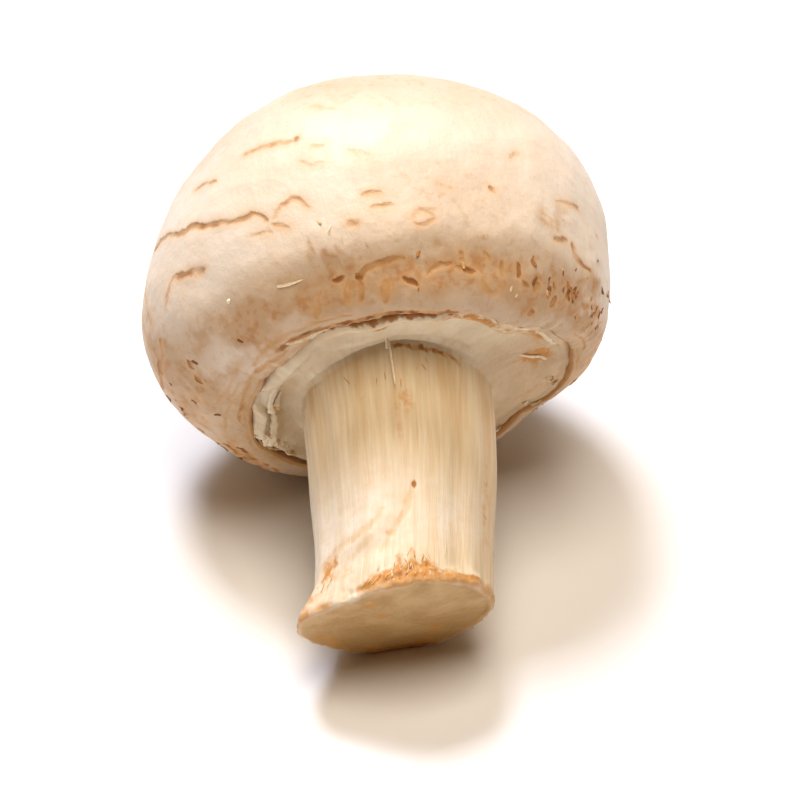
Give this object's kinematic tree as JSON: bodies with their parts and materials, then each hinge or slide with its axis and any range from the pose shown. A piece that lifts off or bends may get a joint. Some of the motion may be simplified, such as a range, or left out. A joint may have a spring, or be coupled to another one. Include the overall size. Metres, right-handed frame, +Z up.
{
  "type": "button mushroom",
  "caption": "Whole button mushroom lying on its side: domed cap with cracked skin and rolled margin, torn white veil ring, ribbed stem with a slanted cut foot.",
  "frame": {"origin": "middle of the bounding box at its bottom, on the surface that the mushroom lies on", "axes": "+Z up, -Y towards the cut end of the stem, +X to the right when looking at the cut end"},
  "size_m": [0.0508, 0.064, 0.049],
  "materials": {
    "mushroom": "satin"
  },
  "bodies": {
    "root": {"button_mushroom": "mushroom"}
  },
  "joints": []
}
